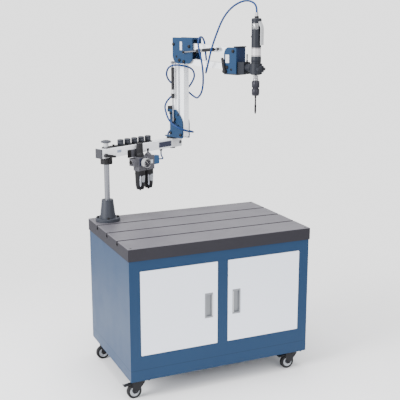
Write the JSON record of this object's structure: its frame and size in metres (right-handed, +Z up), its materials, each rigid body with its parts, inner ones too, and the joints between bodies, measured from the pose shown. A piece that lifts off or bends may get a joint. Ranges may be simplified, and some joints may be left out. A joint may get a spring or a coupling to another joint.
{
  "type": "arm tapping machine",
  "caption": "Air-driven tapping head on a sprung parallelogram arm, swung from a column beam over a T-slot table on a wheeled cabinet.",
  "frame": {"origin": "on the floor below the middle of the table", "axes": "+X to the right of the doors, +Y to the back, +Z up"},
  "size_m": [1.025, 0.8707, 1.9373],
  "materials": {
    "blue_enamel": "satin",
    "white_enamel": "satin",
    "ground_iron": "ground",
    "black_steel": "satin",
    "bright_steel": "brushed",
    "chrome": "polished",
    "black_plastic": "matte",
    "blue_plastic": "satin",
    "black_rubber": "matte",
    "blue_hose": "glossy",
    "silver_alloy": "satin"
  },
  "bodies": {
    "cart": {"cabinet_shell": "blue_enamel", "cabinet_plinth": "blue_enamel", "t_slot_table": "ground_iron", "socket_screws": "black_steel", "caster_plates": "bright_steel", "column_base": "black_steel", "column_tube": "chrome", "column_collar": "black_steel"},
    "left_door": {"left_door": "white_enamel"},
    "right_door": {"right_door": "white_enamel"},
    "beam": {"beam_tube": "white_enamel", "beam_end_cap": "black_plastic", "beam_end_block": "white_enamel", "tool_rail": "black_plastic", "tap_adapters": "black_steel", "air_unit_bodies": "black_plastic", "air_unit_bowls": "black_plastic", "pressure_gauge": "chrome", "outlet_block": "blue_plastic", "hose_beam_span": "blue_hose"},
    "beam_lever": {"beam_lever": "black_plastic"},
    "top_knob": {"top_knob": "black_plastic"},
    "regulator_knob": {"regulator_knob": "black_plastic"},
    "drip_knob": {"drip_knob": "black_plastic"},
    "arm_base": {"swivel_collar": "black_steel", "lower_bracket": "blue_enamel", "hose_lower_span": "blue_hose"},
    "rear_bar": {"rear_bar": "white_enamel"},
    "front_bar": {"front_bar": "white_enamel"},
    "spring_1_cylinder": {"spring_1_cylinder": "black_steel"},
    "spring_1_rod": {"spring_1_rod": "chrome"},
    "elbow": {"elbow_bracket": "blue_enamel", "hose_upper_span": "blue_hose"},
    "top_bar": {"top_bar": "white_enamel", "hose_tool_span": "blue_hose"},
    "bottom_bar": {"bottom_bar": "white_enamel"},
    "spring_2_cylinder": {"spring_2_cylinder": "black_steel"},
    "spring_2_rod": {"spring_2_rod": "chrome"},
    "head": {"head_bracket": "blue_enamel", "tilt_housing": "black_steel"},
    "head_lever": {"head_lever": "black_plastic"},
    "tilt_lever": {"tilt_lever": "black_plastic"},
    "tool_holder": {"tool_clamp": "black_steel", "motor_body": "black_steel", "motor_sleeve": "silver_alloy"},
    "throttle_lever": {"throttle_lever": "silver_alloy"},
    "reverse_button": {"reverse_button": "black_plastic"},
    "spindle": {"tap_chuck": "bright_steel"},
    "coupling": {"quick_coupling": "silver_alloy"},
    "caster_fl": {"caster_fork_fl": "black_steel"},
    "wheel_fl": {"caster_wheel_fl": "black_rubber"},
    "pedal_fl": {"brake_pedal_fl": "black_steel"},
    "caster_fr": {"caster_fork_fr": "black_steel"},
    "wheel_fr": {"caster_wheel_fr": "black_rubber"},
    "pedal_fr": {"brake_pedal_fr": "black_steel"},
    "caster_bl": {"caster_fork_bl": "black_steel"},
    "wheel_bl": {"caster_wheel_bl": "black_rubber"},
    "caster_br": {"caster_fork_br": "black_steel"},
    "wheel_br": {"caster_wheel_br": "black_rubber"}
  },
  "joints": [
    {"name": "left_door_hinge", "type": "hinge", "parent": "cart", "child": "left_door", "pos_m": [-0.431, -0.321, 0.45], "axis": [0, 0, 1], "range_deg": [-100, 0]},
    {"name": "right_door_hinge", "type": "hinge", "parent": "cart", "child": "right_door", "pos_m": [0.431, -0.321, 0.45], "axis": [0, 0, 1], "range_deg": [0, 100]},
    {"name": "caster_swivel_fl", "type": "hinge", "parent": "cart", "child": "caster_fl", "pos_m": [-0.436, -0.288, 0.09], "axis": [0, 0, 1], "continuous": true},
    {"name": "wheel_roll_fl", "type": "hinge", "parent": "caster_fl", "child": "wheel_fl", "pos_m": [-0.469, -0.288, 0.0375], "axis": [0, 1, 0], "continuous": true},
    {"name": "brake_pedal_fl_tip", "type": "hinge", "parent": "caster_fl", "child": "pedal_fl", "pos_m": [-0.474, -0.288, 0.0795], "axis": [0, 1, 0], "range_deg": [-12, 0]},
    {"name": "caster_swivel_fr", "type": "hinge", "parent": "cart", "child": "caster_fr", "pos_m": [0.436, -0.288, 0.09], "axis": [0, 0, 1], "continuous": true},
    {"name": "wheel_roll_fr", "type": "hinge", "parent": "caster_fr", "child": "wheel_fr", "pos_m": [0.403, -0.288, 0.0375], "axis": [0, 1, 0], "continuous": true},
    {"name": "brake_pedal_fr_tip", "type": "hinge", "parent": "caster_fr", "child": "pedal_fr", "pos_m": [0.398, -0.288, 0.0795], "axis": [0, 1, 0], "range_deg": [-12, 0]},
    {"name": "caster_swivel_bl", "type": "hinge", "parent": "cart", "child": "caster_bl", "pos_m": [-0.436, 0.232, 0.09], "axis": [0, 0, 1], "continuous": true},
    {"name": "wheel_roll_bl", "type": "hinge", "parent": "caster_bl", "child": "wheel_bl", "pos_m": [-0.469, 0.232, 0.0375], "axis": [0, 1, 0], "continuous": true},
    {"name": "caster_swivel_br", "type": "hinge", "parent": "cart", "child": "caster_br", "pos_m": [0.436, 0.232, 0.09], "axis": [0, 0, 1], "continuous": true},
    {"name": "wheel_roll_br", "type": "hinge", "parent": "caster_br", "child": "wheel_br", "pos_m": [0.403, 0.232, 0.0375], "axis": [0, 1, 0], "continuous": true},
    {"name": "beam_swivel", "type": "hinge", "parent": "cart", "child": "beam", "pos_m": [-0.415, 0.247, 1.152], "axis": [0, 0, 1], "range_deg": [-60, 60]},
    {"name": "beam_lever_turn", "type": "hinge", "parent": "beam", "child": "beam_lever", "pos_m": [-0.43267, 0.21217, 1.144], "axis": [-0.3955, 0.9184, 0], "range_deg": [-50, 5]},
    {"name": "top_knob_turn", "type": "hinge", "parent": "cart", "child": "top_knob", "pos_m": [-0.415, 0.247, 1.187], "axis": [0, 0, 1], "range_deg": [-180, 180]},
    {"name": "regulator_knob_turn", "type": "hinge", "parent": "beam", "child": "regulator_knob", "pos_m": [-0.21874, 0.27164, 1.15], "axis": [0, 0, 1], "range_deg": [-150, 150]},
    {"name": "drip_knob_turn", "type": "hinge", "parent": "beam", "child": "drip_knob", "pos_m": [-0.1618, 0.29616, 1.145], "axis": [0, 0, 1], "range_deg": [-180, 180]},
    {"name": "arm_swivel", "type": "hinge", "parent": "beam", "child": "arm_base", "pos_m": [0.04239, 0.44398, 1.182], "axis": [0, 0, 1], "range_deg": [-35, 60], "deforming": ["hose_beam_span"]},
    {"name": "lower_arm_lift", "type": "hinge", "parent": "arm_base", "child": "rear_bar", "pos_m": [0.06053, 0.391, 1.291], "axis": [0.9461, 0.3239, 0], "range_deg": [0, 50], "deforming": ["hose_lower_span"]},
    {"name": "front_bar_pivot", "type": "hinge", "parent": "arm_base", "child": "front_bar", "pos_m": [0.0764, 0.34464, 1.206], "axis": [0.9461, 0.3239, 0], "range_deg": [-0.5, 50.5]},
    {"name": "elbow_level", "type": "hinge", "parent": "rear_bar", "child": "elbow", "pos_m": [0.06053, 0.391, 1.706], "axis": [0.9461, 0.3239, 0], "range_deg": [-50.5, 0.5]},
    {"name": "spring_1_rod_pivot", "type": "hinge", "parent": "arm_base", "child": "spring_1_rod", "pos_m": [0.0236, 0.38153, 1.273], "axis": [0.9461, 0.3239, 0], "range_deg": [-0.5, 48.15]},
    {"name": "spring_1_cylinder_pivot", "type": "hinge", "parent": "rear_bar", "child": "spring_1_cylinder", "pos_m": [0.02263, 0.38437, 1.606], "axis": [0.9461, 0.3239, 0], "range_deg": [-2.85, 0.5]},
    {"name": "upper_arm_lift", "type": "hinge", "parent": "elbow", "child": "top_bar", "pos_m": [0.10199, 0.2699, 1.697], "axis": [0.9461, 0.3239, 0], "range_deg": [-18, 28], "deforming": ["hose_upper_span"]},
    {"name": "bottom_bar_pivot", "type": "hinge", "parent": "elbow", "child": "bottom_bar", "pos_m": [0.08806, 0.31058, 1.615], "axis": [0.9461, 0.3239, 0], "range_deg": [-18.5, 28.5]},
    {"name": "head_level", "type": "hinge", "parent": "top_bar", "child": "head", "pos_m": [0.2104, -0.04673, 1.68239], "axis": [0.9461, 0.3239, 0], "range_deg": [-28.5, 18.5], "deforming": ["hose_tool_span"]},
    {"name": "spring_2_rod_pivot", "type": "hinge", "parent": "elbow", "child": "spring_2_rod", "pos_m": [0.04999, 0.28592, 1.666], "axis": [0.9461, 0.3239, 0], "range_deg": [-16.29, 25.06]},
    {"name": "spring_2_cylinder_pivot", "type": "hinge", "parent": "top_bar", "child": "spring_2_cylinder", "pos_m": [0.13421, 0.03994, 1.691], "axis": [0.9461, 0.3239, 0], "range_deg": [-3.94, 2.71]},
    {"name": "tool_tilt", "type": "hinge", "parent": "head", "child": "tool_holder", "pos_m": [0.22378, -0.08583, 1.601], "axis": [0.3239, -0.9461, 0], "range_deg": [-45, 45]},
    {"name": "head_lever_turn", "type": "hinge", "parent": "head", "child": "head_lever", "pos_m": [0.16074, -0.00666, 1.57939], "axis": [0.9461, 0.3239, 0], "range_deg": [-30, 45]},
    {"name": "tilt_lever_turn", "type": "hinge", "parent": "head", "child": "tilt_lever", "pos_m": [0.23564, -0.10195, 1.629], "axis": [0, 0, 1], "range_deg": [-60, 60]},
    {"name": "throttle_press", "type": "hinge", "parent": "tool_holder", "child": "throttle_lever", "pos_m": [0.25844, -0.18706, 1.829], "axis": [0.9461, 0.3239, 0], "range_deg": [0, 5], "stiffness_Nm_per_rad": 1, "springref_deg": -5.73},
    {"name": "reverse_button_press", "type": "slide", "parent": "tool_holder", "child": "reverse_button", "axis": [0.3239, -0.9461, 0], "range_m": [0, 0.003], "stiffness_N_per_m": 300, "springref_m": -0.002},
    {"name": "spindle_spin", "type": "hinge", "parent": "tool_holder", "child": "spindle", "pos_m": [0.25196, -0.16814, 1.507], "axis": [0, 0, 1], "continuous": true},
    {"name": "coupling_slide", "type": "slide", "parent": "spindle", "child": "coupling", "axis": [0, 0, 1], "range_m": [0, 0.004]}
  ],
  "couplings": [
    {"joint": "front_bar_pivot", "follows": "lower_arm_lift", "ratio": 1},
    {"joint": "elbow_level", "follows": "lower_arm_lift", "ratio": -1},
    {"joint": "spring_1_rod_pivot", "follows": "lower_arm_lift", "ratio": 0.953},
    {"joint": "spring_1_cylinder_pivot", "follows": "lower_arm_lift", "ratio": -0.047},
    {"joint": "bottom_bar_pivot", "follows": "upper_arm_lift", "ratio": 1},
    {"joint": "head_level", "follows": "upper_arm_lift", "ratio": -1},
    {"joint": "spring_2_rod_pivot", "follows": "upper_arm_lift", "ratio": 0.877},
    {"joint": "spring_2_cylinder_pivot", "follows": "upper_arm_lift", "ratio": -0.123}
  ]
}
